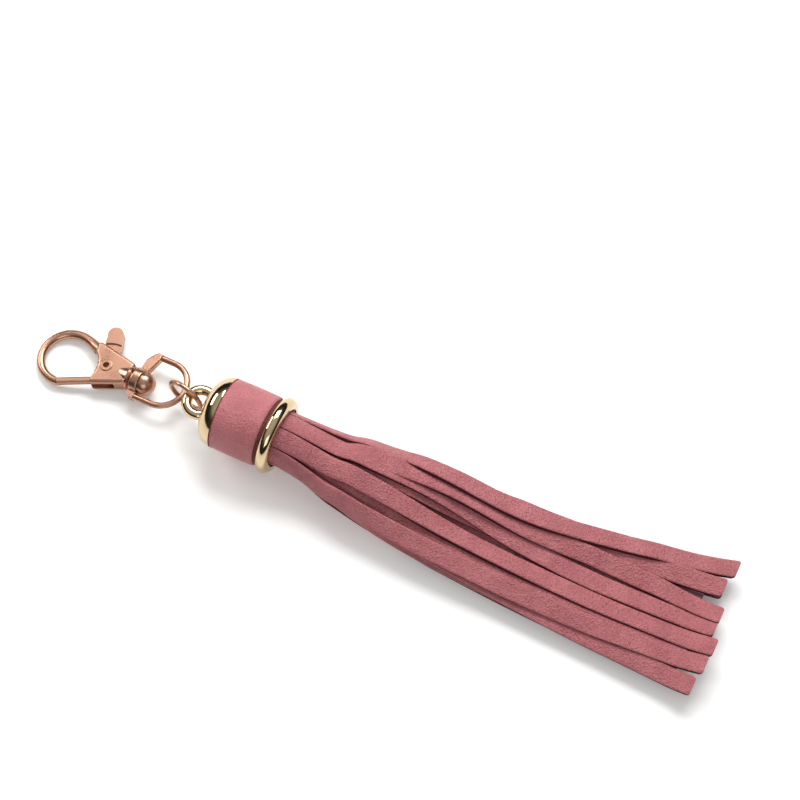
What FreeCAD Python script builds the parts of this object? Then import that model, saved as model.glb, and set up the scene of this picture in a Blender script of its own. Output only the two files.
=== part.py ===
import FreeCAD, Part
import math
import os

"""Tassel keychain: swivel lobster clasp, jump ring, metal cap and a leather fringe.

It lies on its side on a table. +X runs from the clasp to the fringe tips, +Z is up.
The clasp is drawn in its own frame, with X along its swivel axis and Z out of its flat
side, and is then tipped so that the hook rests on the table and the bail meets the ring.
All sizes are in millimetres.
"""

V = FreeCAD.Vector
X_AXIS, Y_AXIS, Z_AXIS = V(1, 0, 0), V(0, 1, 0), V(0, 0, 1)

# ---- clasp, in the clasp's own frame -------------------------------------------------
CLASP_TILT_DEG = 5.8        # the bail end is held up by the jump ring
CLASP_YAW_DEG = -2.0        # the clasp lies a little off the line of the tassel ...
RING_YAW_DEG = 12.0         # ... and the jump ring stands askew between the two
PIVOT = V(0, -0.2, 0)       # centre of the gate's pivot pin
HOOK_CENTRE = V(-10.5, -1.65, 0)
HOOK_RADIUS = 6.55          # to the middle of the round arm
HOOK_WIRE_R = 1.1
HOOK_ROOT_DEG = 38          # the arm leaves the body here ...
HOOK_TIP_DEG = 281          # ... and its tip ends here, at the gate
HOOK_FLARE = 1.7            # how far outwards the arm bends where it leaves the body ...
HOOK_SWELL = 0.7            # ... and how much thicker it is there
BODY_HALF = 2.1             # half the thickness over both cheeks
SLOT_HALF = 0.95            # half the slot between the cheeks
COLLAR_R = 3.0
COLLAR_END = 6.85

LEVER_HALF = 0.85
LEVER_HUB_R = 2.5
GATE_TIP = V(-9.65, -8.2, 0)
GATE_ROOT = V(-2.4, -4.65, 0)
GATE_HALF_WIDTH = 0.8
GATE_SWING_DEG = 28
GATE_END_GAP = 0.12
TAB_TIP = V(-2.7, 8.35, 0)
TAB_TIP_R = 1.9
TAB_PAD_HALF = 1.3
TAB_PAD_FROM = 6.5          # from the pivot, clear of the cheeks

PIN_R = 1.1
PIN_CLEARANCE = 0.06
PIN_BEAD_R = 1.55
PIN_BEAD_H = 0.22
PIN_HOLE_R = 0.75

SPRING_WIRE_R = 0.15
SPRING_R = 1.6
SPRING_TURNS = 2.75
SPRING_PITCH = 0.34
SPRING_POCKET_R = 1.95
SPRING_HEADROOM = 0.06
SPRING_Z = -0.68

RIVET_R = 1.5
RIVET_HEAD_R = 2.9
RIVET_HEAD_H = 3.2
RIVET_ROOT = 4.2

# ---- bail (swivel D ring), in the clasp's frame --------------------------------------
HUB_START, HUB_END, HUB_R = 7.3, 9.5, 3.36
HUB_BORE_R = RIVET_R + 0.06
BAIL_WIRE_R = 0.75
BAIL_HALF_WIDTH = 5.9
BAIL_OFFSET = 1.95          # the D sits off the middle of its hub, towards +Y
BAIL_FAR_CORNER_X, BAIL_NEAR_CORNER_X = 9.9, 8.7
BAIL_BEND_X = 14.0

# ---- jump ring ------------------------------------------------------------------------
RING_R = 4.45
RING_WIRE_R = 0.6
RING_CLEARANCE = 0.1
RING_SPLIT_DEG = 3.0
RING_SPLIT_AT = 0.6          # radians up from the bail side

# ---- tassel cap ------------------------------------------------------------------------
CAP_AXIS_Z = 9.4
EYE_R = 3.25
EYE_WIRE_R = 1.25
EYE_TO_DOME = 2.3
DOME_LENGTH = 4.1
DOME_R = 8.75
BAND_LENGTH = 12.0
BAND_R = 8.6
SKIRT_R = 7.9
SKIRT_BORE_R = 7.2
TRIM_LENGTH = 3.0
TRIM_R = 9.4
TRIM_EDGE_R = 8.25
TRIM_LIP = 0.6
CAVITY_START = 2.6          # from the dome's apex, where the cavity is CAVITY_R in radius ...
CAVITY_R = 5.2
CAVITY_END = 5.2            # ... and where it has widened to the skirt's bore
ROLL_CLEARANCE = 0.05

# ---- fringe -----------------------------------------------------------------------------
COLUMNS, LAYERS = 9, 3
FRINGE_LENGTH = 108.4
STRAND_GAP = 0.12
MOUTH_CELL_R = 7.0
MOUTH_HALF_WIDTH = 6.55
DROOP_AT = 40.0             # where the fringe first lies on the table
DROOP_HALF_WIDTH = 10.9
DROOP_DRIFT = 0.7           # how far its middle has drifted to the side there
DROOP_HEIGHT = 6.6
TIP_HALF_WIDTH = 17.7
TIP_DRIFT = 1.8
STRAND_THICKNESS = 1.25


def polygon(points, low, high):
    """A prism over a closed outline in the XY plane, from z = low to z = high."""
    corners = [V(x, y, low) for x, y in points]
    face = Part.Face(Part.makePolygon(corners + corners[:1]))
    return face.extrude(V(0, 0, high - low))


def turned(points):
    """A solid of revolution about X; points are (x, radius) pairs of a closed outline."""
    corners = [V(x, r, 0) for x, r in points]
    face = Part.Face(Part.makePolygon(corners + corners[:1]))
    return face.revolve(V(0, 0, 0), X_AXIS, 360)


def disc(centre, radius, low, high):
    return Part.makeCylinder(radius, high - low, centre + V(0, 0, low), Z_AXIS)


def fused(shapes):
    return shapes[0].fuse(shapes[1:]).removeSplitter()


def rounded(shape, radius, keep):
    """Fillets the edges that keep() accepts, or leaves them when the kernel can't."""
    edges = [edge for edge in shape.Edges if keep(edge)]
    try:
        soft = shape.makeFillet(radius, edges)
    except Exception:
        return shape
    return soft if soft.isValid() and soft.Volume > 0 else shape


def level(angle_deg):
    """A unit vector on the table, at an angle from X."""
    return V(math.cos(math.radians(angle_deg)), math.sin(math.radians(angle_deg)), 0)


def turned_point(point):
    """A point of the clasp's frame, tilted and yawed but not yet moved into place."""
    tilt = math.radians(CLASP_TILT_DEG)
    run = point.x * math.cos(tilt) - point.z * math.sin(tilt)
    rise = point.x * math.sin(tilt) + point.z * math.cos(tilt)
    return level(CLASP_YAW_DEG) * run + level(CLASP_YAW_DEG + 90) * point.y + V(0, 0, rise)


# ---- places worked out from the sizes ----------------------------------------------------
HOOK_REACH = HOOK_RADIUS - HOOK_CENTRE.x
CLASP_LIFT = HOOK_WIRE_R + HOOK_REACH * math.sin(math.radians(CLASP_TILT_DEG))
EYE_CENTRE = V(0, 0, CAP_AXIS_Z)
RING_LINE = level(180 - RING_YAW_DEG)           # from the eye towards the bail
EYE_HOLD = EYE_CENTRE + RING_LINE * EYE_R
RING_TO_EYE = RING_R - RING_WIRE_R - EYE_WIRE_R - RING_CLEARANCE
RING_TO_BAIL = RING_R - RING_WIRE_R - BAIL_WIRE_R - RING_CLEARANCE
BOW_CENTRE = V(BAIL_BEND_X, BAIL_OFFSET, 0)
BOW_HOLD = BOW_CENTRE + level(-RING_YAW_DEG - CLASP_YAW_DEG) * BAIL_HALF_WIDTH
BOW_HOLD_Z = turned_point(BOW_HOLD).z + CLASP_LIFT
HOLD_DROP = CAP_AXIS_Z - BOW_HOLD_Z
HOLD_RUN = math.sqrt((RING_TO_EYE + RING_TO_BAIL) ** 2 - HOLD_DROP**2)
BAIL_HOLD = EYE_HOLD + RING_LINE * HOLD_RUN - V(0, 0, HOLD_DROP)
RING_CENTRE = EYE_HOLD + (BAIL_HOLD - EYE_HOLD) * (RING_TO_EYE / (RING_TO_EYE + RING_TO_BAIL))
CLASP_MOVE = BAIL_HOLD - turned_point(BOW_HOLD)
DOME_START = EYE_CENTRE.x + EYE_TO_DOME
BAND_START = DOME_START + DOME_LENGTH
TRIM_START = BAND_START + BAND_LENGTH
MOUTH = TRIM_START + TRIM_LENGTH


def placed(shape):
    """Moves a shape from the clasp's frame to its place on the table."""
    shape = shape.copy()
    shape.rotate(V(0, 0, 0), Y_AXIS, -CLASP_TILT_DEG)
    shape.rotate(V(0, 0, 0), Z_AXIS, CLASP_YAW_DEG)
    shape.translate(CLASP_MOVE)
    return shape


def placed_point(point):
    """The place on the table of a point in the clasp's frame."""
    return turned_point(point) + CLASP_MOVE


def from_pivot(angle_deg, radius):
    return PIVOT + level(angle_deg) * radius


def hook_arm():
    """The round arm, thicker where it grows out of the body and finer at its tip."""
    sections = []
    steps = 15
    for step in range(steps + 1):
        share = step / steps
        angle = math.radians(HOOK_ROOT_DEG + share * (HOOK_TIP_DEG - HOOK_ROOT_DEG))
        outward = V(math.cos(angle), math.sin(angle), 0)
        along = V(-math.sin(angle), math.cos(angle), 0)
        near_root = math.exp(-share / 0.06)
        radius = HOOK_WIRE_R + HOOK_SWELL * near_root - 0.08 * share
        middle = HOOK_CENTRE + outward * (HOOK_RADIUS + HOOK_FLARE * near_root)
        circle = Part.Circle(middle, along, radius)
        sections.append(Part.Wire(circle.toShape()))
    return Part.makeLoft(sections, True, False)


def gate_side_normal():
    """Points out of the loop, square to the gate bar."""
    along = (GATE_TIP - GATE_ROOT).normalize()
    return V(-along.y, along.x, 0)


def gate_bar_outline(half_width, reach):
    """The gate bar's four corners; reach moves its root back into the body."""
    along = (GATE_TIP - GATE_ROOT).normalize()
    side = gate_side_normal() * half_width
    root = GATE_ROOT - along * reach
    tip = GATE_TIP + along * 1.5
    return [root + side, tip + side, tip - side, root - side]


def clasp_body():
    """One casting: two cheeks, the hook arm and the collar that the bail turns on."""
    outline = [
        (-5.2, 5.05), (-3.7, 4.9), (1.3, 4.05), (3.6, 3.7), (6.3, 3.1), (6.3, -2.4),
        (-1.3, -5.75), (-2.1, -5.2), (-2.0, -3.0), (-2.2, -1.1), (-3.0, 0.8), (-4.5, 2.2),
    ]
    cheeks = polygon(outline, -BODY_HALF, BODY_HALF)
    cheeks = rounded(cheeks, 0.75, lambda edge: True)
    collar = turned([
        (2.6, 0), (2.6, 1.9), (4.4, 2.3), (5.8, COLLAR_R - 0.3), (6.1, COLLAR_R),
        (COLLAR_END - 0.25, COLLAR_R), (COLLAR_END, COLLAR_R - 0.25), (COLLAR_END, 2.0),
        (HUB_START - 0.1, 2.0), (HUB_START - 0.1, 0),
    ])
    body = fused([cheeks, hook_arm(), collar])
    slot = polygon(
        [(-4.35, 8.1), (-3.65, 4.15), (-3.05, 2.0), (-5.5, 0.6), (-5.5, -12.0), (2.4, -12.0),
         (3.9, -1.6), (3.9, 8.4)],
        -SLOT_HALF, SLOT_HALF,
    )
    outer, inward = gate_side_normal() * (GATE_HALF_WIDTH + 0.1), gate_side_normal() * -6.0
    tip = GATE_TIP + (GATE_TIP - GATE_ROOT).normalize() * 1.5
    room_corners = [GATE_ROOT + outer, tip + outer, tip + inward, GATE_ROOT + inward]
    gate_room = polygon([(p.x, p.y) for p in room_corners], -3.0, 3.0)
    gate_reach = (GATE_TIP - PIVOT).Length + GATE_END_GAP
    gate_room = gate_room.common(disc(PIVOT, gate_reach, -3.0, 3.0))
    gate_room = gate_room.cut(Part.makeBox(20, 30, 10, V(-5.5, -15, -5)))
    body = body.cut([
        slot,
        gate_room,
        disc(PIVOT, PIN_R, -3.0, 3.0),
        Part.makeCylinder(RIVET_R, 20, V(RIVET_ROOT, 0, 0), X_AXIS),
    ])
    return body


def gate_lever():
    """The sprung gate: hub on the pin, bar across the hook's mouth and thumb tab."""
    web = polygon(
        [(-2.3, 0.85), (-1.7, -3.4), (-2.35, -3.95), (-1.95, -5.35), (1.9, -3.2), (2.3, -0.45)],
        -LEVER_HALF, LEVER_HALF,
    )
    web = web.common(disc(PIVOT, 5.4, -3.0, 3.0))
    bar = polygon([(p.x, p.y) for p in gate_bar_outline(GATE_HALF_WIDTH, 1.0)],
                  -LEVER_HALF, LEVER_HALF)
    bar = rounded(bar, 0.5, lambda edge: abs(edge.tangentAt(edge.FirstParameter).z) < 0.5)
    bar = bar.common(disc(PIVOT, (GATE_TIP - PIVOT).Length, -3.0, 3.0))
    stem = polygon([(-2.4, 0.4), (-3.7, 5.25), (-4.55, 8.4), (-0.9, 8.65), (0.5, 5.5), (1.85, 0.7)],
                   -LEVER_HALF, LEVER_HALF)
    pad = polygon([(-3.7, 5.25), (-4.55, 8.4), (-0.85, 8.55), (0.5, 5.5)],
                  -TAB_PAD_HALF, TAB_PAD_HALF)
    pad = fused([pad, disc(TAB_TIP, TAB_TIP_R, -TAB_PAD_HALF, TAB_PAD_HALF)])
    pad = pad.cut(disc(PIVOT, TAB_PAD_FROM, -3.0, 3.0))
    pad = rounded(pad, 0.45, lambda edge: True)
    lever = fused([disc(PIVOT, LEVER_HUB_R, -LEVER_HALF, LEVER_HALF), web, bar, stem, pad])
    window = [PIVOT, from_pivot(-8, 6), from_pivot(20, 6), from_pivot(44, 6)]
    spring_top = SPRING_Z + SPRING_PITCH * SPRING_TURNS + 2 * SPRING_WIRE_R + SPRING_HEADROOM
    return lever.cut([
        disc(PIVOT, PIN_R + PIN_CLEARANCE, -3.0, 3.0),
        disc(PIVOT, SPRING_POCKET_R, -3.0, spring_top),
        polygon([(p.x, p.y) for p in window], -3.0, spring_top),
    ])


def pivot_pin():
    """Tubular rivet through both cheeks, with a rolled bead round each end's hole."""
    face_z = BODY_HALF
    pin = disc(PIVOT, PIN_R, -face_z, face_z)
    beads = [
        disc(PIVOT, PIN_BEAD_R, face_z, face_z + PIN_BEAD_H),
        disc(PIVOT, PIN_BEAD_R, -face_z - PIN_BEAD_H, -face_z),
    ]
    pin = fused([pin] + beads)
    is_rim = lambda edge: abs(abs(edge.CenterOfMass.z) - face_z - PIN_BEAD_H) < 0.01
    pin = rounded(pin, 0.18, is_rim)
    holes = [
        disc(PIVOT, PIN_HOLE_R, 0.9, 4.0),
        disc(PIVOT, PIN_HOLE_R, -4.0, -0.9),
    ]
    return pin.cut(holes)


def gate_spring():
    """Torsion spring round the pin; its leg bears on the slot's back wall."""
    helix = Part.makeHelix(SPRING_PITCH, SPRING_PITCH * SPRING_TURNS, SPRING_R)
    helix.translate(PIVOT + V(0, 0, SPRING_Z + SPRING_WIRE_R))
    start = helix.Vertexes[0].Point
    section = Part.Wire(Part.Circle(start, Y_AXIS, SPRING_WIRE_R).toShape())
    coil = Part.Wire(helix.Edges).makePipeShell([section], True, True)
    leg = Part.makeCylinder(SPRING_WIRE_R, 3.85 - start.x, start, X_AXIS)
    return fused([coil, leg])


def swivel_rivet():
    """The post that the bail turns on, with its domed head inside the bail."""
    head_start = HUB_END + 0.1
    sphere_r = (RIVET_HEAD_R**2 + RIVET_HEAD_H**2) / (2 * RIVET_HEAD_H)
    dome = Part.makeSphere(sphere_r, V(head_start + RIVET_HEAD_H - sphere_r, 0, 0))
    head = dome.common(Part.makeCylinder(RIVET_HEAD_R, RIVET_HEAD_H, V(head_start, 0, 0), X_AXIS))
    shank = Part.makeCylinder(RIVET_R, head_start - RIVET_ROOT, V(RIVET_ROOT, 0, 0), X_AXIS)
    return fused([shank, head])


def bail():
    """The swivel's D ring: a turned hub, two flat shoulders and a round wire bow."""
    hub = Part.makeCylinder(HUB_R, HUB_END - HUB_START, V(HUB_START, 0, 0), X_AXIS)
    hub = rounded(hub, 0.35, lambda edge: edge.Closed)
    pieces = [hub]
    for side, corner_x in ((1, BAIL_FAR_CORNER_X), (-1, BAIL_NEAR_CORNER_X)):
        middle = BAIL_OFFSET + BAIL_HALF_WIDTH * side
        outer, inner = middle + BAIL_WIRE_R * side, middle - BAIL_WIRE_R * side
        shoulder = polygon(
            [(HUB_START + 0.1, 2.4 * side), (HUB_START + 0.2, middle * 0.75),
             (corner_x - 1.2, outer - 0.6 * side), (corner_x - 0.5, outer),
             (corner_x + 0.8, outer), (corner_x + 0.8, inner), (HUB_END - 0.1, 2.4 * side)],
            -0.95, 0.95,
        )
        pieces.append(rounded(shoulder, 0.4, lambda edge: abs(edge.CenterOfMass.y) > 3.0))
        corner = V(corner_x, middle, 0)
        pieces.append(Part.makeCylinder(BAIL_WIRE_R, BAIL_BEND_X - corner_x, corner, X_AXIS))
    bend_start = BOW_CENTRE - Y_AXIS * BAIL_HALF_WIDTH
    section = Part.Face(Part.Wire(Part.Circle(bend_start, X_AXIS, BAIL_WIRE_R).toShape()))
    pieces.append(section.revolve(BOW_CENTRE, Z_AXIS, 180))
    bore = Part.makeCylinder(HUB_BORE_R, 10, V(HUB_START - 2, 0, 0), X_AXIS)
    return fused(pieces).cut(bore)


def jump_ring():
    """Split ring of round wire, standing on edge between the bail and the cap's eye."""
    out = RING_LINE * math.cos(RING_SPLIT_AT) + Z_AXIS * math.sin(RING_SPLIT_AT)
    along = Z_AXIS * math.cos(RING_SPLIT_AT) - RING_LINE * math.sin(RING_SPLIT_AT)
    section = Part.Wire(Part.Circle(RING_CENTRE + out * RING_R, along, RING_WIRE_R).toShape())
    axis = out.cross(along)
    return Part.Face(section).revolve(RING_CENTRE, axis, 360 - RING_SPLIT_DEG)


def on_cap_axis(shape):
    shape.translate(V(0, 0, CAP_AXIS_Z))
    return shape


def tassel_cap():
    """Dome with a cast eye, and the thin skirt that carries the band and trim."""
    shoulder = 3.4
    outline = [V(0, 0, 0), V(0, 3.0, 0)]
    corner = V(DOME_LENGTH, DOME_R, 0)
    bend = V(0.95, DOME_R - shoulder + 1.9, 0)
    arc = Part.Arc(outline[1], bend, corner).toShape()
    run = [corner, V(DOME_LENGTH, SKIRT_R, 0)]
    end_x = DOME_LENGTH + BAND_LENGTH + TRIM_LENGTH - TRIM_LIP
    run += [V(end_x, SKIRT_R, 0), V(end_x, SKIRT_BORE_R, 0), V(CAVITY_END, SKIRT_BORE_R, 0)]
    run += [V(CAVITY_START, CAVITY_R, 0), V(CAVITY_START, 0, 0), V(0, 0, 0)]
    wire = Part.Wire([Part.makeLine(*outline), arc] + list(Part.makePolygon(run).Edges))
    shell = Part.Face(wire).revolve(V(0, 0, 0), X_AXIS, 360)
    shell.translate(V(DOME_START, 0, CAP_AXIS_Z))
    eye = Part.makeTorus(EYE_R, EYE_WIRE_R, EYE_CENTRE, Z_AXIS)
    cavity = Part.makeCylinder(SKIRT_BORE_R, 50, V(DOME_START + CAVITY_START, 0, CAP_AXIS_Z), X_AXIS)
    return fused([shell, eye.cut(cavity)])


def leather_band():
    """Strip of leather round the skirt, butted underneath."""
    section = Part.Face(Part.makePolygon([
        V(BAND_START, 0, -SKIRT_R), V(BAND_START + BAND_LENGTH, 0, -SKIRT_R),
        V(BAND_START + BAND_LENGTH, 0, -BAND_R), V(BAND_START, 0, -BAND_R),
        V(BAND_START, 0, -SKIRT_R),
    ]))
    band = section.revolve(V(0, 0, 0), X_AXIS, 359)
    return on_cap_axis(band)


def trim_ring():
    """Half-round metal bead at the mouth, with a lip that closes the skirt's edge."""
    end = TRIM_START + TRIM_LENGTH
    crown = V(TRIM_START + TRIM_LENGTH / 2, TRIM_R, 0)
    arc = Part.Arc(V(end, TRIM_EDGE_R, 0), crown, V(TRIM_START, TRIM_EDGE_R, 0)).toShape()
    run = Part.makePolygon([
        V(TRIM_START, TRIM_EDGE_R, 0), V(TRIM_START, SKIRT_R, 0), V(end - TRIM_LIP, SKIRT_R, 0),
        V(end - TRIM_LIP, SKIRT_BORE_R + 0.1, 0), V(end, SKIRT_BORE_R + 0.1, 0),
        V(end, TRIM_EDGE_R, 0),
    ])
    ring = Part.Face(Part.Wire(list(run.Edges) + [arc])).revolve(V(0, 0, 0), X_AXIS, 360)
    return on_cap_axis(ring)


def header_roll():
    """The uncut edge of the fringe, rolled up and glued into the cap."""
    start = DOME_START + CAVITY_START + ROLL_CLEARANCE
    full = DOME_START + CAVITY_END + ROLL_CLEARANCE
    full_r = SKIRT_BORE_R - ROLL_CLEARANCE
    roll = turned([(start, 0), (start, CAVITY_R - ROLL_CLEARANCE), (full, full_r), (MOUTH, full_r),
                   (MOUTH, 0)])
    return on_cap_axis(roll)


def mouth_corner(column, layer):
    """Corner of a strand's section where it leaves the round mouth."""
    y = MOUTH_HALF_WIDTH * (2 * column / COLUMNS - 1)
    half = math.sqrt(MOUTH_CELL_R**2 - y**2)
    return V(MOUTH, y, CAP_AXIS_Z + half * (2 * layer / LAYERS - 1))


def flat_corner(column, layer, distance, half_width, drift, height):
    """Corner of a strand's section where the fringe lies on the table."""
    y = drift + half_width * (2 * column / COLUMNS - 1)
    return V(MOUTH + distance, y, height * layer / LAYERS)


def cell(corners):
    """A four-sided section, drawn in a little so that neighbours don't touch."""
    centre = (corners[0] + corners[1] + corners[2] + corners[3]) * 0.25
    drawn = []
    for corner in corners:
        away = corner - centre
        inset = V(0, math.copysign(STRAND_GAP, away.y), math.copysign(STRAND_GAP, away.z))
        drawn.append(corner - inset)
    return Part.makePolygon(drawn + drawn[:1])


def strand(column, layer):
    """One leather strip, from the mouth down to the table and out to its tip."""
    around = [(column, layer), (column + 1, layer), (column + 1, layer + 1), (column, layer + 1)]
    ragged = 1.2 * math.sin(2.1 * column + 3.7 * layer)
    stages = [
        [mouth_corner(c, r) for c, r in around],
        [flat_corner(c, r, DROOP_AT, DROOP_HALF_WIDTH, DROOP_DRIFT, DROOP_HEIGHT)
         for c, r in around],
        [flat_corner(c, r, FRINGE_LENGTH + ragged, TIP_HALF_WIDTH, TIP_DRIFT,
                     LAYERS * STRAND_THICKNESS)
         for c, r in around],
    ]
    return Part.makeLoft([cell(corners) for corners in stages], True, True)


def all_pieces():
    pieces = {
        "clasp_body": placed(clasp_body()),
        "gate_lever": placed(gate_lever()),
        "pivot_pin": placed(pivot_pin()),
        "gate_spring": placed(gate_spring()),
        "swivel_rivet": placed(swivel_rivet()),
        "swivel_bail": placed(bail()),
        "jump_ring": jump_ring(),
        "tassel_cap": tassel_cap(),
        "leather_band": leather_band(),
        "trim_ring": trim_ring(),
        "header_roll": header_roll(),
    }
    for layer in range(LAYERS):
        for column in range(COLUMNS):
            number = layer * COLUMNS + column + 1
            pieces[f"strand_{number:02d}"] = strand(column, layer)
    return pieces


def to_origin(pieces):
    """The shift that puts the middle of the whole object's base at the origin."""
    box = Part.makeCompound(list(pieces.values())).optimalBoundingBox(False, False)
    return V(-(box.XMin + box.XMax) / 2, -(box.YMin + box.YMax) / 2, -box.ZMin)


os.makedirs("parts", exist_ok=True)
PIECES = all_pieces()
SHIFT = to_origin(PIECES)
for name, shape in PIECES.items():
    shape.translate(SHIFT)
    shape.exportStep(f"parts/{name}.step")
    print(name, "valid", shape.isValid(), "solids", len(shape.Solids), "mm3", round(shape.Volume, 1))
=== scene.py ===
"""Tassel keychain lying on a pale table: metal clasp, ring and cap, and a fringe of cut leather.

The metal is the CAD model with better materials. The leather band, the rolled header and the
27 strips of the fringe are built here. Each strip is laid on those beneath it, and then the
whole fringe is pressed to the height that it should have.
Everything is in metres, in the frame of the CAD model.
"""
import math

import bpy
import numpy as np
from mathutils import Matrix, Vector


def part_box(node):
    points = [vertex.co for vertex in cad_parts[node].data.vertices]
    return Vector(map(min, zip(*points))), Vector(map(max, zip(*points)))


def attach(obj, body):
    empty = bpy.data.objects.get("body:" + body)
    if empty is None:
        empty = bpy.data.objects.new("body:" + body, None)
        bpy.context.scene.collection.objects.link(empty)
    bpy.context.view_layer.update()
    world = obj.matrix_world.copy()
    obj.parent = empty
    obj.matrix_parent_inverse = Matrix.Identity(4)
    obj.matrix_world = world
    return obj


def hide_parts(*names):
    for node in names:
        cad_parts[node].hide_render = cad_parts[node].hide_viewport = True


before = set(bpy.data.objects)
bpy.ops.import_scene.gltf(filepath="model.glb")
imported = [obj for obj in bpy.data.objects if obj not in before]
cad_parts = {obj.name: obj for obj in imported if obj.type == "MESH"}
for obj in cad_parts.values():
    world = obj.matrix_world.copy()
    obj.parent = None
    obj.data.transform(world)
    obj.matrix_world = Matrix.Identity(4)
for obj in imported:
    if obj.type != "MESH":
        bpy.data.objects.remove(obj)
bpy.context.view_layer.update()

MM = 0.001
RANDOM = np.random.default_rng(7)

# ---- places read from the frame ----------------------------------------------------------
TRIM_LOW, TRIM_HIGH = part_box("trim_ring")
BAND_LOW, BAND_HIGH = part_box("leather_band")
AXIS_Y = (TRIM_LOW[1] + TRIM_HIGH[1]) / 2
AXIS_Z = (TRIM_LOW[2] + TRIM_HIGH[2]) / 2
MOUTH_X = TRIM_HIGH[0]

# ---- camera: a long lens, high above the near side ---------------------------------------
CAMERA_FROM_MOUTH = (110.97 * MM, -174.88 * MM, 460.93 * MM)
CAMERA_YAW_DEG = -24.86
CAMERA_DOWN_DEG = 64.5
CAMERA_ROLL_DEG = 0.46
LENS_MM = 96.3
SENSOR_MM = 36
CAMERA_NEAR = 10 * MM        # nothing closer than this is drawn

# ---- one strip of leather ----------------------------------------------------------------
STRIP_WIDTH = 4.5 * MM
STRIP_THICKNESS = 1.2 * MM
EDGE_ROUNDING = 0.28 * MM    # of the two long edges of the grain side
SHOULDER = 0.3               # how far the rounding's middle lies inside, in roundings
STRIP_CROWN = 0.03           # how full the grain side is, in thicknesses
EDGE_FOOT = 0.05             # the bevel between cut edge and back: its height in thicknesses
BACK_INSET = 0.02            # and its width in strip widths
TIP_CORNER = 0.8 * MM        # the rounding of a strip's two corners at its tip
TIP_STATIONS = (1.0, 0.6, 0.3, 0.12, 0.0)   # stations from the tip, in TIP_CORNERs
STATION_STEP = 1.5 * MM      # between the stations along a strip
LEAST_STEP = 0.2 * MM
SHARP_STRIP_DEG = 42         # edges sharper than this are drawn crisp
UV_STEP = 0.5 * MM           # between two corners of the section

# ---- how the fringe lies -----------------------------------------------------------------
ROOT_X = -2.6 * MM           # the strips start inside the trim ring
LANDING = 46 * MM            # from here to the tips the fringe lies on the table
ON_PILE_FROM = 0.35          # of LANDING: from here on a strip carries those above it
SAG = 0.06                   # how steeply a strip falls while it hangs
UNCURLS = (2 * MM, 52 * MM)  # where a strip turns from its place in the roll to lying flat
CURVED_TO = 42 * MM          # up to here a strip is also curved across
FLATTEST_BEND = 1.0          # per metre: a curve across that is gentler is drawn flat
FLIP_BEYOND_DEG = 115        # strips from the underside of the roll lie with their backs up
WANDER = 0.22 * MM           # each strip's own slight waviness
WANDER_LENGTH = 17 * MM      # of one radian of it
WANDER_GROWS = (10 * MM, 50 * MM)
LIFT = 0.04 * MM             # between every strip and what it rests on
AIR = 0.1 * MM               # a further gap above another strip
SUPPORT_ARM = 0.7            # between a strip's left and right supports, in widths
MOST_LEAN = 0.25             # the steepest slope across that a strip takes from those below
MOST_TILT = 0.6              # the steepest tilt, in radians, that it passes to those above
DENT = 0.1 * MM              # how far a strip sinks in over a ridge
STIFF_FROM = 97 * MM         # from here to its tip a strip bridges what is missing below it
STIFF_DROOP = 0.03           # and falls this steeply
ACROSS = np.linspace(-0.5, 0.5, 13)       # places across a strip, in widths
STATIONS_MM = (0, 20, 40, 60, 80, 108)
PILE_TOP_MM = (15.8, 13.2, 10.6, 8.2, 6.2, 4.6)   # the fringe's height at STATIONS_MM
PAST_TIPS = 115 * MM         # beyond the longest strip
PRESSED_FROM = 12 * MM       # nearer the mouth, the roll holds the strips up
LYING_FROM = 20 * MM         # from here to LANDING, strips come to lie above the table

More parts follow.
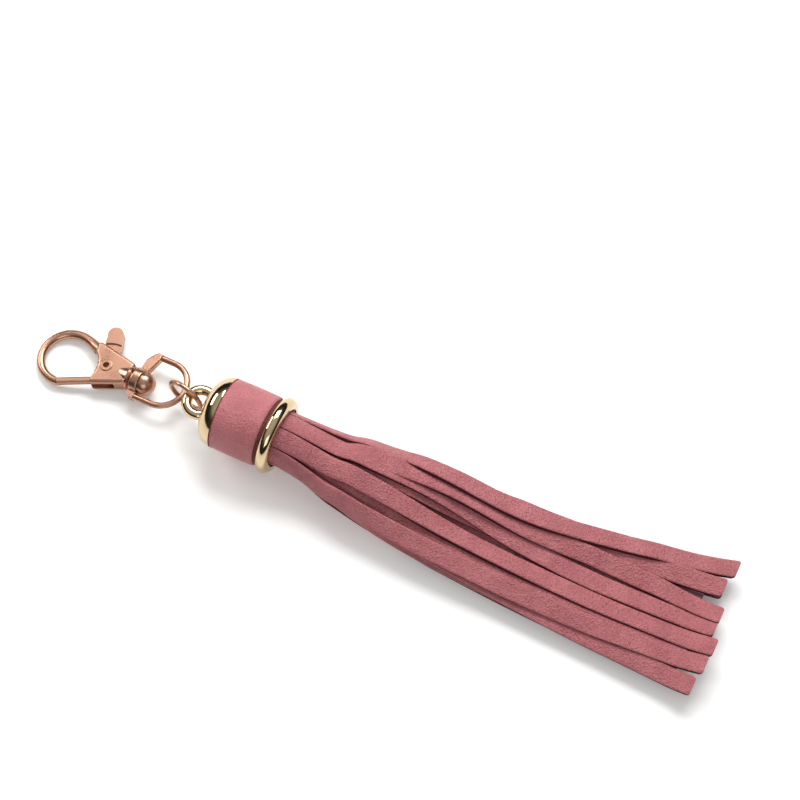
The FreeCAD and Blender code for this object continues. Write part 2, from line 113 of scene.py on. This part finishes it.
# The strips from the lowest to the highest. Each has its place in the roll (the radius of its
# turn, and its angle from the top towards the far side), its sideways places at STATIONS_MM
# after the first, from the cap's axis, and its length from the mouth. Lengths are in
# millimetres and angles in degrees.
OUTER, MIDDLE, INNER, CORE = 5.95, 4.7, 3.5, 2.1
STRIPS = [
    ("strand_01", OUTER, 160, (1.0, 2.2, 1.6, 1.0, 0.5), 101.0),
    ("strand_02", CORE, -120, (-4.4, -5.6, -6.5, -7.2, -8.0), 102.0),
    ("strand_03", CORE, 120, (5.0, 6.0, 6.6, 7.6, 9.0), 101.5),
    ("strand_04", OUTER, -156, (-7.2, -8.8, -10.2, -11.2, -12.2), 102.5),
    ("strand_05", MIDDLE, 104, (7.6, 9.2, 9.6, 11.4, 13.6), 102.5),
    ("strand_06", CORE, 180, (-1.8, -2.0, -2.6, -3.4, -4.2), 102.0),
    ("strand_07", MIDDLE, 156, (3.0, 3.8, 4.0, 4.4, 5.0), 102.0),
    ("strand_08", MIDDLE, -156, (-4.2, -5.4, -6.6, -7.8, -9.4), 102.5),
    ("strand_09", CORE, 60, (5.6, 6.6, 7.0, 8.4, 10.2), 102.0),
    ("strand_10", CORE, 180, (0.2, 0.4, 0.4, 0.6, 1.4), 101.5),
    ("strand_11", INNER, -144, (-2.6, -3.4, -4.2, -5.2, -6.6), 101.0),
    ("strand_12", INNER, 144, (2.4, 3.4, 4.6, 6.0, 7.4), 102.5),
    ("strand_13", CORE, -60, (-6.0, -7.6, -8.8, -9.8, -11.0), 103.0),
    ("strand_14", INNER, 72, (4.0, 5.2, 6.4, 8.2, 11.4), 106.3),
    ("strand_15", INNER, -72, (-3.6, -4.6, -5.4, -6.2, -6.8), 103.0),
    ("strand_16", CORE, 0, (0.2, 0.2, -0.4, -1.0, -1.4), 103.0),
    ("strand_17", INNER, 0, (1.2, 1.8, 2.2, 2.0, 2.2), 104.0),
    ("strand_18", MIDDLE, -52, (-4.8, -6.0, -6.4, -5.6, -4.6), 104.0),
    ("strand_19", MIDDLE, -104, (-8.4, -10.0, -11.2, -11.8, -13.0), 104.0),
    ("strand_20", OUTER, 112, (7.8, 9.2, 9.4, 11.0, 13.0), 103.5),
    ("strand_21", OUTER, -112, (-7.8, -9.6, -11.0, -12.3, -13.8), 108.4),
    ("strand_22", MIDDLE, 52, (5.2, 6.4, 7.4, 8.8, 11.0), 106.3),
    ("strand_23", OUTER, -68, (-8.3, -9.7, -10.4, -10.2, -8.2), 109.2),
    ("strand_24", OUTER, -24, (-2.9, -3.6, -4.2, -4.3, -3.6), 109.6),
    ("strand_25", OUTER, 20, (2.4, 3.0, 1.1, 0.4, 0.9), 108.0),
    ("strand_26", MIDDLE, 0, (3.2, 5.2, 4.3, 5.2, 4.6), 108.1),
    ("strand_27", OUTER, 64, (7.2, 7.8, 7.5, 10.6, 16.7), 107.4),
]

# ---- the header roll, inside the cap -----------------------------------------------------
ROLL_OUTER_R = 7.0 * MM
ROLL_INNER_R = 0.9 * MM
ROLL_PITCH = 1.3 * MM
ROLL_STEPS_PER_TURN = 48
ROLL_BACK = 2.0 * MM         # how far inside the mouth the roll ends
SHARP_ROLL_DEG = 40

# ---- the leather band round the cap ------------------------------------------------------
BAND_INNER_R = 7.92 * MM
BAND_EDGE = 0.8 * MM         # how much of the band's raw edge shows beside the trim ring
BAND_CROWN = 0.10 * MM       # how much fuller the band is in its middle
BAND_SEAM_DEG = 1.2          # half the gap where its ends meet, below
BAND_STEPS = 144
SHARP_BAND_DEG = 50

# ---- surfaces ----------------------------------------------------------------------------
ROSE_GOLD = (0.52, 0.285, 0.195, 1)
PALE_GOLD = (0.68, 0.52, 0.32, 1)
STEEL = (0.55, 0.53, 0.50, 1)
PINK = (0.56, 0.185, 0.20, 1)
PINK_DEEP = (0.455, 0.134, 0.15, 1)
# the cut edge's own dark colour, made darker still as painted shade in the gaps between strips
CUT_EDGE_AND_GAP_SHADE = (0.10, 0.018, 0.024, 1)
RAW_EDGE = (0.20, 0.072, 0.06, 1)
RAW_EDGE_DEEP = (0.06, 0.02, 0.015, 1)
BACKING = (0.36, 0.17, 0.18, 1)
TABLE = (0.90, 0.90, 0.89, 1)
WHITE = (1, 1, 1)
WARM_WHITE = (1.0, 0.97, 0.92)

# ---- setting -----------------------------------------------------------------------------
TABLE_HALF = 2.5             # from the middle of the table to its edge
TABLE_GLOW = 0.16            # a painted glow: lifts the table and the shadows on it towards the white of a cut-out
SKY = ((0.0, 0.08), (0.30, 0.02), (0.52, 0.14), (0.72, 0.75), (1.0, 1.0))   # height, grey
SKY_STRENGTH = 0.56
LIGHTS = (                   # name, place, size, watts, colour
    ("key", (-0.10, 0.42, 0.55), (0.5, 0.3), 4.6, WHITE),
    ("fill", (0.25, -0.55, 0.50), (0.5, 0.4), 1.1, WHITE),
    ("rim", (-0.55, 0.10, 0.30), (0.3, 0.12), 1.2, WARM_WHITE),
)
CARD_SHADE = 0.01            # the dark cards that the metal reflects
CARDS = (                    # name, centre, width, height
    ("near_dark_card", (-0.10, -0.42, 0.10), 0.55, 0.16),
    ("far_dark_card", (0.30, 0.35, 0.06), 0.20, 0.10),
)


# ============================================================================ materials
def new_material(name):
    """An empty node material and its Principled shader."""
    material = bpy.data.materials.new(name)
    material.use_nodes = True
    return material, material.node_tree.nodes["Principled BSDF"]


def texture(material, kind, scale, detail=None):
    """A 3-D texture node in object space; scale is in features per metre."""
    tree = material.node_tree
    place = tree.nodes.new("ShaderNodeTexCoord")
    node = tree.nodes.new(kind)
    node.inputs["Scale"].default_value = scale
    if detail is not None:
        node.inputs["Detail"].default_value = detail
    tree.links.new(place.outputs["Object"], node.inputs["Vector"])
    return node


def ramp(owner, source, stops):
    """A colour ramp in a material or world, fed by source; stops are (position, colour)."""
    tree = owner.node_tree
    node = tree.nodes.new("ShaderNodeValToRGB")
    points = node.color_ramp.elements
    for index, (position, colour) in enumerate(stops):
        point = points[index] if index < 2 else points.new(position)
        point.position = position
        point.color = colour
    tree.links.new(source, node.inputs["Fac"])
    return node.outputs["Color"]


def grey(value):
    """A grey colour."""
    return (value, value, value, 1)


def dimmed(colour, share):
    """A colour times a share."""
    return tuple(channel * share for channel in colour[:3]) + (1,)


def bump(material, height, distance, strength, below=None):
    """A bump node; below chains it after another bump."""
    tree = material.node_tree
    node = tree.nodes.new("ShaderNodeBump")
    node.inputs["Distance"].default_value = distance
    node.inputs["Strength"].default_value = strength
    tree.links.new(height, node.inputs["Height"])
    if below is not None:
        tree.links.new(below, node.inputs["Normal"])
    return node.outputs["Normal"]


def metal(name, colour, roughness, wear):
    """Plated metal: soft blotches of wear, fine scratches and a faintly uneven casting."""
    material, shader = new_material(name)
    tree = material.node_tree
    smooth, dull = roughness
    blotches = texture(material, "ShaderNodeTexNoise", scale=260, detail=4)
    tone = ramp(material, blotches.outputs["Fac"],
                [(0.35, dimmed(colour, 1 - wear)), (0.62, colour)])
    tree.links.new(tone, shader.inputs["Base Color"])
    rough = ramp(material, blotches.outputs["Fac"], [(0.3, grey(dull)), (0.65, grey(smooth))])
    tree.links.new(rough, shader.inputs["Roughness"])
    shader.inputs["Metallic"].default_value = 1.0
    casting = texture(material, "ShaderNodeTexNoise", scale=420, detail=2)
    grain = texture(material, "ShaderNodeTexNoise", scale=6000, detail=2)
    waves = bump(material, casting.outputs["Fac"], distance=0.05 * MM, strength=0.25)
    scratches = bump(material, grain.outputs["Fac"], distance=0.004 * MM, strength=0.25,
                     below=waves)
    tree.links.new(scratches, shader.inputs["Normal"])
    return material


def shaded_by(material, tone, shade, share):
    """A tone darkened by a share of a shade."""
    tree = material.node_tree
    mix = tree.nodes.new("ShaderNodeMix")
    mix.data_type = "RGBA"
    mix.blend_type = "MULTIPLY"
    mix.inputs["Factor"].default_value = share
    tree.links.new(tone, mix.inputs["A"])
    tree.links.new(shade, mix.inputs["B"])
    return mix.outputs["Result"]


def leather(name, roughness, grain_depth):
    """Coated pink leather: pebbled cells, finer creases between them with painted shade, and
    slight mottling.
    """
    material, shader = new_material(name)
    tree = material.node_tree
    mottle = texture(material, "ShaderNodeTexNoise", scale=190, detail=5)
    tone = ramp(material, mottle.outputs["Fac"], [(0.3, PINK_DEEP), (0.7, PINK)])
    cells = texture(material, "ShaderNodeTexVoronoi", scale=2300)
    cells.feature = "SMOOTH_F1"
    creases = texture(material, "ShaderNodeTexNoise", scale=2300, detail=6)
    creases.inputs["Distortion"].default_value = 1.2
    # painted shade: the colour is darkened in the creases, where shade would fall
    painted_crease_shade = ramp(material, creases.outputs["Fac"], [(0.32, grey(0.55)), (0.52, grey(1.0))])
    tree.links.new(shaded_by(material, tone, painted_crease_shade, 0.35), shader.inputs["Base Color"])
    shader.inputs["Roughness"].default_value = roughness
    shader.inputs["Specular IOR Level"].default_value = 0.38
    pebbles = bump(material, cells.outputs["Distance"], distance=0.32 * MM,
                   strength=grain_depth)
    wrinkles = bump(material, creases.outputs["Fac"], distance=0.40 * MM,
                    strength=grain_depth, below=pebbles)
    tree.links.new(wrinkles, shader.inputs["Normal"])
    return material


def cut_leather(name, colour, deep):
    """The raw fibres of a cut edge."""
    material, shader = new_material(name)
    tree = material.node_tree
    fibres = texture(material, "ShaderNodeTexNoise", scale=3200, detail=5)
    tone = ramp(material, fibres.outputs["Fac"], [(0.3, deep), (0.7, colour)])
    tree.links.new(tone, shader.inputs["Base Color"])
    shader.inputs["Roughness"].default_value = 0.85
    shader.inputs["Specular IOR Level"].default_value = 0.2
    nap = bump(material, fibres.outputs["Fac"], distance=0.08 * MM, strength=0.8)
    tree.links.new(nap, shader.inputs["Normal"])
    return material


def woven_backing(name, colour):
    """The knitted cloth on the back of a strip, with ribs along its length."""
    material, shader = new_material(name)
    tree = material.node_tree
    place = tree.nodes.new("ShaderNodeUVMap")
    place.uv_map = "strip"
    ribs = tree.nodes.new("ShaderNodeTexWave")
    ribs.bands_direction = "Y"
    ribs.inputs["Scale"].default_value = 500.0
    ribs.inputs["Distortion"].default_value = 1.5
    tree.links.new(place.outputs["UV"], ribs.inputs["Vector"])
    tone = ramp(material, ribs.outputs["Fac"], [(0.2, dimmed(colour, 0.55)), (0.8, colour)])
    tree.links.new(tone, shader.inputs["Base Color"])
    shader.inputs["Roughness"].default_value = 0.9
    shader.inputs["Specular IOR Level"].default_value = 0.15
    knit = bump(material, ribs.outputs["Fac"], distance=0.12 * MM, strength=0.6)
    tree.links.new(knit, shader.inputs["Normal"])
    return material


# ============================================================================ mesh helpers
def mesh_object(name, points, faces, materials, face_material=None, uvs=None, smooth=True):
    """A mesh object with optional material index and UVs per face corner."""
    mesh = bpy.data.meshes.new(name)
    mesh.from_pydata([tuple(p) for p in points], [], faces)
    for material in materials:
        mesh.materials.append(material)
    if face_material is not None:
        mesh.polygons.foreach_set("material_index", face_material)
    if smooth:
        mesh.polygons.foreach_set("use_smooth", [True] * len(mesh.polygons))
    if uvs is not None:
        layer = mesh.uv_layers.new(name="strip")
        layer.data.foreach_set("uv", np.asarray(uvs, float).ravel())
    mesh.validate()
    mesh.update()
    obj = bpy.data.objects.new(name, mesh)
    bpy.context.scene.collection.objects.link(obj)
    return obj


def sharpen(obj, angle_deg):
    """Marks edges sharper than an angle, so that smooth shading keeps them crisp."""
    obj.data.set_sharp_from_angle(angle=math.radians(angle_deg))


def around_axis(x, radius, angle):
    """A point round the cap's axis; the angle goes from the top towards the far side."""
    return (x, AXIS_Y + radius * math.sin(angle), AXIS_Z + radius * math.cos(angle))


def smoothstep(low, high, value):
    """Rises smoothly from 0 at low to 1 at high."""
    share = np.clip((np.asarray(value, float) - low) / (high - low), 0, 1)
    return share * share * (3 - 2 * share)


def spline(stations, values, at):
    """A smooth curve through values at stations, with finite-difference slopes."""
    stations, values, at = (np.asarray(v, float) for v in (stations, values, at))
    slopes = np.gradient(values, stations)
    index = np.clip(np.searchsorted(stations, at, side="right") - 1, 0, len(stations) - 2)
    gap = stations[index + 1] - stations[index]
    t = (at - stations[index]) / gap
    return ((2 * t**3 - 3 * t**2 + 1) * values[index]
            + (t**3 - 2 * t**2 + t) * gap * slopes[index]
            + (-2 * t**3 + 3 * t**2) * values[index + 1]
            + (t**3 - t**2) * gap * slopes[index + 1])


def blurred(values, width):
    """A running average with soft weights, ends held; the width is in stations."""
    reach = 3 * width
    weights = np.exp(-0.5 * (np.arange(-reach, reach + 1) / width) ** 2)
    padded = np.concatenate([np.full(reach, values[0]), values, np.full(reach, values[-1])])
    return np.convolve(padded, weights / weights.sum(), mode="valid")


# ============================================================================ the fringe
class Pile:
    """Heights of what already lies on the table, on a grid beside and along the fringe."""

    STEP_X, STEP_Y = 1.5 * MM, 0.4 * MM
    REACH_X, REACH_Y = 125 * MM, 30 * MM

    def __init__(self):
        self.rows = int(self.REACH_X / self.STEP_X)
        self.columns = int(2 * self.REACH_Y / self.STEP_Y)
        self.top = np.zeros((self.rows, self.columns))

    def cell(self, distance, side):
        """The grid's row and column at a distance from the mouth and a sideways place."""
        row = np.clip(np.round(distance / self.STEP_X).astype(int), 0, self.rows - 1)
        column = np.round((side + self.REACH_Y) / self.STEP_Y).astype(int)
        return row, np.clip(column, 0, self.columns - 1)

    def height(self, distance, side):
        """How high the pile is there."""
        row, column = self.cell(distance, side)
        return self.top[row, column]

    def lay(self, distance, side, height):
        """Raises the pile to a height there, where it isn't that high already."""
        row, column = self.cell(distance, side)
        np.maximum.at(self.top, (row, column), height)


def supports(pile, distance, side):
    """What a strip rests on at its left, middle and right, at each station."""
    places = side[:, None] + ACROSS[None, :] * STRIP_WIDTH
    under = pile.height(np.repeat(distance[:, None], len(ACROSS), 1), places)
    return under[:, :5].max(axis=1), under[:, 4:9].max(axis=1), under[:, 8:].max(axis=1)


def sideways(start, sides, distance):
    """A strip's sideways places: a smooth curve through those given, and its own wander."""
    stations = [ROOT_X / MM] + list(STATIONS_MM)
    places = [start / MM, start / MM] + list(sides)
    side = spline(stations, places, distance / MM) * MM
    wander = WANDER * np.sin(distance / WANDER_LENGTH + RANDOM.uniform(0, 2 * math.pi))
    return side + wander * smoothstep(*WANDER_GROWS, distance)


def resting(pile, distance, side):
    """The height of what a strip rests on at each station, and its slope across."""
    left, middle, right = supports(pile, distance, side)
    lean = (right - left) / (SUPPORT_ARM * STRIP_WIDTH)
    lean = blurred(np.clip(lean, -MOST_LEAN, MOST_LEAN), 4)
    ridge = np.maximum((left + right) / 2, middle)
    rest = blurred(ridge, 3)
    rest = blurred(np.maximum(rest, ridge - DENT), 1)
    bridged = np.interp(STIFF_FROM, distance, rest) - STIFF_DROOP * (distance - STIFF_FROM)
    return np.where(distance > STIFF_FROM, np.maximum(rest, bridged), rest), lean


def lay_on(pile, distance, side, height, tilt):
    """Adds a strip's upper face to the pile."""
    laid = distance > ON_PILE_FROM * LANDING
    spread = side[laid, None] + ACROSS[None, :] * STRIP_WIDTH
    slope = np.tan(np.clip(tilt[laid], -MOST_TILT, MOST_TILT))
    tops = (height[laid] + STRIP_THICKNESS / 2 + AIR)[:, None]
    tops = tops + ACROSS[None, :] * STRIP_WIDTH * slope[:, None]
    pile.lay(np.repeat(distance[laid, None], len(ACROSS), 1), spread, tops)


def lay_strip(pile, turn, angle_deg, sides, length):
    """Lays a strip on the pile and returns its course.

    A course is five rows with a number for each station along the strip: its distance from
    the mouth, its sideways place, its height, its roll and its bend across.
    """
    angle = math.radians(angle_deg)
    turn_r = turn * MM
    count = int(round((length * MM - ROOT_X) / STATION_STEP)) + 1
    distance = np.linspace(ROOT_X, length * MM, count)
    side = sideways(turn_r * math.sin(angle), sides, distance)

    rest, lean = resting(pile, distance, side)
    hanging = AXIS_Z + turn_r * math.cos(angle) - SAG * np.clip(distance, 0, None)
    lying = rest + STRIP_THICKNESS / 2 + LIFT
    settled = smoothstep(0, LANDING, distance)
    height = hanging * (1 - settled) + lying * settled

    backs_up = abs(angle_deg) > FLIP_BEYOND_DEG
    flat = math.copysign(math.pi, -angle) if backs_up else 0.0
    uncurled = smoothstep(*UNCURLS, distance)
    roll = -angle * (1 - uncurled) + (flat + np.arctan(lean)) * uncurled
    bend = (1 - smoothstep(0, CURVED_TO, distance)) / (turn_r + STRIP_THICKNESS / 2)

    lay_on(pile, distance, side, height, roll - flat)
    return distance, side, height, roll, bend


def pressed(courses):
    """Lowers the fringe evenly, all strips by the same share, to the height it should have."""
    stations = np.arange(ROOT_X, PAST_TIPS, STATION_STEP)
    tallest = np.full(len(stations), STRIP_THICKNESS)
    for distance, _, height, _, _ in courses:
        reached = np.interp(stations, distance, height, right=0)
        tallest = np.maximum(tallest, reached + STRIP_THICKNESS / 2)
    wanted = np.interp(stations, np.array(STATIONS_MM) * MM, np.array(PILE_TOP_MM) * MM)
    share = blurred(np.minimum(1, wanted / tallest), 3)
    lowered = []
    for distance, side, height, roll, bend in courses:
        by = np.interp(distance, stations, share)
        by = 1 + (by - 1) * smoothstep(0, PRESSED_FROM, distance)
        floor = STRIP_THICKNESS / 2 + STRIP_WIDTH / 2 * np.abs(np.sin(roll))
        above = np.maximum(height * by, floor * smoothstep(LYING_FROM, LANDING, distance))
        lowered.append((distance, side, above, roll, bend))
    return lowered


def with_tip_stations(course):
    """Adds stations close to the tip, where its corners are rounded."""
    distance = course[0]
    extra = distance[-1] - TIP_CORNER * np.array(TIP_STATIONS)
    finer = np.concatenate([distance[distance < extra[0] - LEAST_STEP], extra])
    return tuple(np.interp(finer, distance, values) for values in course)


GRAIN_SIDE, EDGE_SIDE, BACK_SIDE = 0, 1, 2


def strip_section():
    """The section's corners as (across, up) shares, and the finish of the face after each."""
    round_w, round_t = EDGE_ROUNDING / STRIP_WIDTH, EDGE_ROUNDING / STRIP_THICKNESS
    side, top = 0.5, 0.5
    shoulder = (side - SHOULDER * round_w, top - SHOULDER * round_t)
    edge_top, edge_foot = top - round_t, -top + EDGE_FOOT
    grain = [(share, top + STRIP_CROWN * (1 - (2 * share) ** 2))
             for share in np.linspace(-side + round_w, side - round_w, 9)]
    back = [(share, -top) for share in np.linspace(side - BACK_INSET, -side + BACK_INSET, 7)]
    stretches = (
        (grain + [shoulder], GRAIN_SIDE),
        ([(side, edge_top), (side, edge_foot)], EDGE_SIDE),
        (back[:-1], BACK_SIDE),
        ([back[-1], (-side, edge_foot)], EDGE_SIDE),
        ([(-side, edge_top), (-shoulder[0], shoulder[1])], GRAIN_SIDE),
    )
    points = [point for stretch, _ in stretches for point in stretch]
    finish = [side_of for stretch, side_of in stretches for _ in stretch]
    return points, finish


def station_ring(station, section, from_tip):
    """The section's corners in place at one station, drawn in where the tip is rounded."""
    distance, side, height, roll, bend = station
    into_corner = np.clip(1 - from_tip / TIP_CORNER, 0, 1)
    narrow = 1 - 2 * TIP_CORNER / STRIP_WIDTH * (1 - math.sqrt(1 - into_corner**2))
    ring = []
    for across, up in section:
        u = across * STRIP_WIDTH * narrow
        v = up * STRIP_THICKNESS
        if bend > FLATTEST_BEND:
            radius = 1 / bend
            arc = u / radius
            u, v = (radius + v) * math.sin(arc), (radius + v) * math.cos(arc) - radius
        # positive roll lifts the far side of the strip
        y = side + u * math.cos(roll) - v * math.sin(roll)
        z = height + u * math.sin(roll) + v * math.cos(roll)
        ring.append((MOUTH_X + distance, AXIS_Y + y, z))
    return ring


def strip_mesh(name, course, materials):
    """A closed strip of leather along its course."""
    distance = course[0]
    last = len(distance) - 1
    section, finish = strip_section()
    around = len(section)
    points = []
    for station in zip(*course):
        points += station_ring(station, section, distance[last] - station[0])
    faces, face_finish, uvs = [], [], []
    for i in range(last):
        for k in range(around):
            after = (k + 1) % around
            faces.append((i * around + k, (i + 1) * around + k,
                          (i + 1) * around + after, i * around + after))
            face_finish.append(finish[k])
            v0, v1 = k * UV_STEP, (k + 1) * UV_STEP
            uvs += [(distance[i], v0), (distance[i + 1], v0), (distance[i + 1], v1),
                    (distance[i], v1)]
    for end, order in ((0, 1), (last, -1)):
        ring = [end * around + k for k in range(around)][::order]
        faces.append(tuple(ring))
        face_finish.append(EDGE_SIDE)
        uvs += [(distance[end], 0.0)] * around
    obj = mesh_object(name, points, faces, materials, face_finish, uvs)
    sharpen(obj, SHARP_STRIP_DEG)
    return obj


def build_fringe(materials):
    """All the strips, lowest first."""
    pile = Pile()
    courses = [lay_strip(pile, *place) for _, *place in STRIPS]
    for (name, *_), course in zip(STRIPS, pressed(courses)):
        strip = strip_mesh(f"leather_{name}", with_tip_stations(course), materials)
        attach(strip, "cap")
        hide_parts(name)


# ============================================================================ header and band
def build_header(materials):
    """The uncut edge of the fringe, rolled up inside the cap."""
    low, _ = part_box("header_roll")
    start_x, end_x = low[0], MOUTH_X - ROLL_BACK
    turns = (ROLL_OUTER_R - ROLL_INNER_R - STRIP_THICKNESS / 2) / ROLL_PITCH
    steps = int(turns * ROLL_STEPS_PER_TURN)
    points = []
    for step in range(steps + 1):
        angle = 2 * math.pi * turns * step / steps
        middle = ROLL_INNER_R + ROLL_PITCH * angle / (2 * math.pi)
        outer, inner = middle + STRIP_THICKNESS / 2, middle - STRIP_THICKNESS / 2
        for radius, x in ((outer, start_x), (outer, end_x), (inner, end_x), (inner, start_x)):
            points.append(around_axis(x, radius, angle))
    faces, finish = [], []
    for step in range(steps):
        for k, side in enumerate((GRAIN_SIDE, EDGE_SIDE, BACK_SIDE, EDGE_SIDE)):
            a, b = 4 * step + k, 4 * step + (k + 1) % 4
            faces.append((a, b, b + 4, a + 4))
            finish.append(side)
    faces += [(3, 2, 1, 0), tuple(4 * steps + k for k in range(4))]
    finish += [EDGE_SIDE, EDGE_SIDE]
    obj = mesh_object("leather_header_roll", points, faces, materials, finish)
    sharpen(obj, SHARP_ROLL_DEG)
    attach(obj, "cap")
    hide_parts("header_roll")


FACE, RAW = 0, 1


def band_profile(length, outer_r):
    """The band's section: (along, radius, finish of the face after it), from the dome on."""
    grain_end = length - BAND_EDGE
    raw_end = length - 0.05 * MM
    corners = [(0.0, BAND_INNER_R, RAW), (0.0, outer_r - 0.35 * MM, FACE),
               (0.12 * MM, outer_r - 0.12 * MM, FACE), (0.4 * MM, outer_r, FACE)]
    for share in np.linspace(0.1, 0.85, 8):
        fullness = BAND_CROWN * math.sin(math.pi * share)
        corners.append((length * share, outer_r + fullness, FACE))
    corners += [(grain_end - 0.35 * MM, outer_r - 0.02 * MM, FACE),
                (grain_end - 0.1 * MM, outer_r - 0.12 * MM, FACE),
                (grain_end, outer_r - 0.34 * MM, RAW),
                (raw_end, outer_r - 0.55 * MM, RAW),
                (raw_end, BAND_INNER_R, RAW)]
    return corners


def build_band(face, raw):
    """The leather round the cap: slightly full in the middle, with a butt seam below."""
    start, end = BAND_LOW[0], BAND_HIGH[0]
    outer_r = (BAND_HIGH[2] - BAND_LOW[2]) / 2
    length = end - start
    profile = band_profile(length, outer_r)
    size = len(profile)
    seam = math.radians(BAND_SEAM_DEG)
    points, faces, finish = [], [], []
    for k in range(BAND_STEPS + 1):
        angle = math.pi + seam + (2 * math.pi - 2 * seam) * k / BAND_STEPS
        points += [around_axis(start + x, radius, angle) for x, radius, _ in profile]
    for k in range(BAND_STEPS):
        for i in range(size):
            j = (i + 1) % size
            faces.append((k * size + i, k * size + j, (k + 1) * size + j, (k + 1) * size + i))
            finish.append(profile[i][2])
    faces += [tuple(range(size))[::-1], tuple(BAND_STEPS * size + i for i in range(size))]
    finish += [RAW, RAW]
    obj = mesh_object("leather_cap_band", points, faces, [face, raw], finish)
    sharpen(obj, SHARP_BAND_DEG)
    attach(obj, "cap")
    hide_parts("leather_band")


# ============================================================================ setting
def build_floor():
    """The pale table, with a painted glow that lifts the shadows on it."""
    material, shader = new_material("table_white")
    shader.inputs["Base Color"].default_value = TABLE
    # painted glow: the table shines a little by itself, which lifts the shadows on it
    shader.inputs["Emission Color"].default_value = grey(1.0)
    shader.inputs["Emission Strength"].default_value = TABLE_GLOW
    shader.inputs["Roughness"].default_value = 0.6
    shader.inputs["Specular IOR Level"].default_value = 0.2
    half = TABLE_HALF
    corners = [(-half, -half, 0), (half, -half, 0), (half, half, 0), (-half, half, 0)]
    floor = mesh_object("table", corners, [(0, 1, 2, 3)], [material], smooth=False)


def build_card(name, centre, width, height):
    """A flat dark card that faces the cap, for the metal to reflect."""
    material, shader = new_material(name)
    shader.inputs["Base Color"].default_value = grey(CARD_SHADE)
    shader.inputs["Roughness"].default_value = 0.9
    target = np.array([TRIM_LOW[0], AXIS_Y, AXIS_Z])
    centre = np.array(centre)
    facing = target - centre
    facing = facing / np.linalg.norm(facing)
    level = np.cross([0, 0, 1], facing)
    level = level / np.linalg.norm(level)
    rise = np.cross(facing, level)
    corners = [centre + level * a * width / 2 + rise * b * height / 2
               for a, b in ((-1, -1), (1, -1), (1, 1), (-1, 1))]
    obj = mesh_object(name, corners, [(0, 1, 2, 3)], [material], smooth=False)


def build_light(name, place, size, watts, colour):
    """A soft rectangular light aimed at the middle of the object."""
    data = bpy.data.lights.new(name, "AREA")
    data.shape = "RECTANGLE"
    data.size, data.size_y = size
    data.energy = watts
    data.color = colour
    light = bpy.data.objects.new(name, data)
    light.location = place
    gaze = -np.array(place)
    down = math.atan2(math.hypot(gaze[0], gaze[1]), -gaze[2])
    light.rotation_euler = (down, 0, math.atan2(-gaze[0], gaze[1]))
    bpy.context.scene.collection.objects.link(light)


def build_sky():
    """A studio sky, dark low down and bright overhead, for the light and the reflections."""
    world = bpy.data.worlds.new("studio")
    world.use_nodes = True
    tree = world.node_tree
    background = tree.nodes["Background"]
    place = tree.nodes.new("ShaderNodeTexCoord")
    split = tree.nodes.new("ShaderNodeSeparateXYZ")
    tree.links.new(place.outputs["Generated"], split.inputs["Vector"])
    shade = ramp(world, split.outputs["Z"], [(at, grey(value)) for at, value in SKY])
    tree.links.new(shade, background.inputs["Color"])
    background.inputs["Strength"].default_value = SKY_STRENGTH
    bpy.context.scene.world = world


def build_camera():
    """The camera, turned by its yaw, its angle down and a slight roll."""
    data = bpy.data.cameras.new("view")
    data.lens = LENS_MM
    data.sensor_width = SENSOR_MM
    data.clip_start = CAMERA_NEAR
    camera = bpy.data.objects.new("view", data)
    yaw, down, roll = (math.radians(v) for v in (CAMERA_YAW_DEG, CAMERA_DOWN_DEG, CAMERA_ROLL_DEG))
    gaze = np.array([math.sin(yaw) * math.cos(down), math.cos(yaw) * math.cos(down),
                     -math.sin(down)])
    level = np.array([math.cos(yaw), -math.sin(yaw), 0])
    rise = np.cross(level, gaze)
    right = level * math.cos(roll) + rise * math.sin(roll)
    up = np.cross(right, gaze)
    place = np.array(CAMERA_FROM_MOUTH) + np.array([MOUTH_X, AXIS_Y, 0])
    rows = [[right[i], up[i], -gaze[i], place[i]] for i in range(3)] + [[0, 0, 0, 1]]
    camera.matrix_world = [list(column) for column in zip(*rows)]
    bpy.context.scene.collection.objects.link(camera)
    bpy.context.scene.camera = camera


# ============================================================================ the scene
def dress_metal():
    """Gives every CAD piece that stays visible its own finish."""
    rose = metal("rose_gold_plate", ROSE_GOLD, roughness=(0.26, 0.38), wear=0.14)
    gold = metal("pale_gold_plate", PALE_GOLD, roughness=(0.06, 0.14), wear=0.06)
    steel = metal("spring_wire", STEEL, roughness=(0.25, 0.4), wear=0.2)
    finishes = {
        "clasp_body": rose, "gate_lever": rose, "pivot_pin": rose, "swivel_rivet": rose,
        "swivel_bail": rose, "jump_ring": rose, "gate_spring": steel, "tassel_cap": gold,
        "trim_ring": gold,
    }
    for name, material in finishes.items():
        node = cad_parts[name]
        for slot in node.material_slots:
            slot.material = material


bpy.context.scene.view_settings.view_transform = "Standard"
build_camera()
build_floor()
build_sky()
for light in LIGHTS:
    build_light(*light)
for card in CARDS:
    build_card(*card)
dress_metal()
strip_finish = [
    leather("strip_grain", roughness=0.5, grain_depth=1.0),
    # the strips' cut edges also carry painted shade for the gaps between the strips
    cut_leather("strip_cut_edge_and_gap_shade", CUT_EDGE_AND_GAP_SHADE, dimmed(CUT_EDGE_AND_GAP_SHADE, 0.6)),
    woven_backing("strip_backing", BACKING),
]
build_fringe(strip_finish)
build_header(strip_finish)
build_band(leather("band_grain", roughness=0.46, grain_depth=0.6),
           cut_leather("band_raw_edge", RAW_EDGE, RAW_EDGE_DEEP))
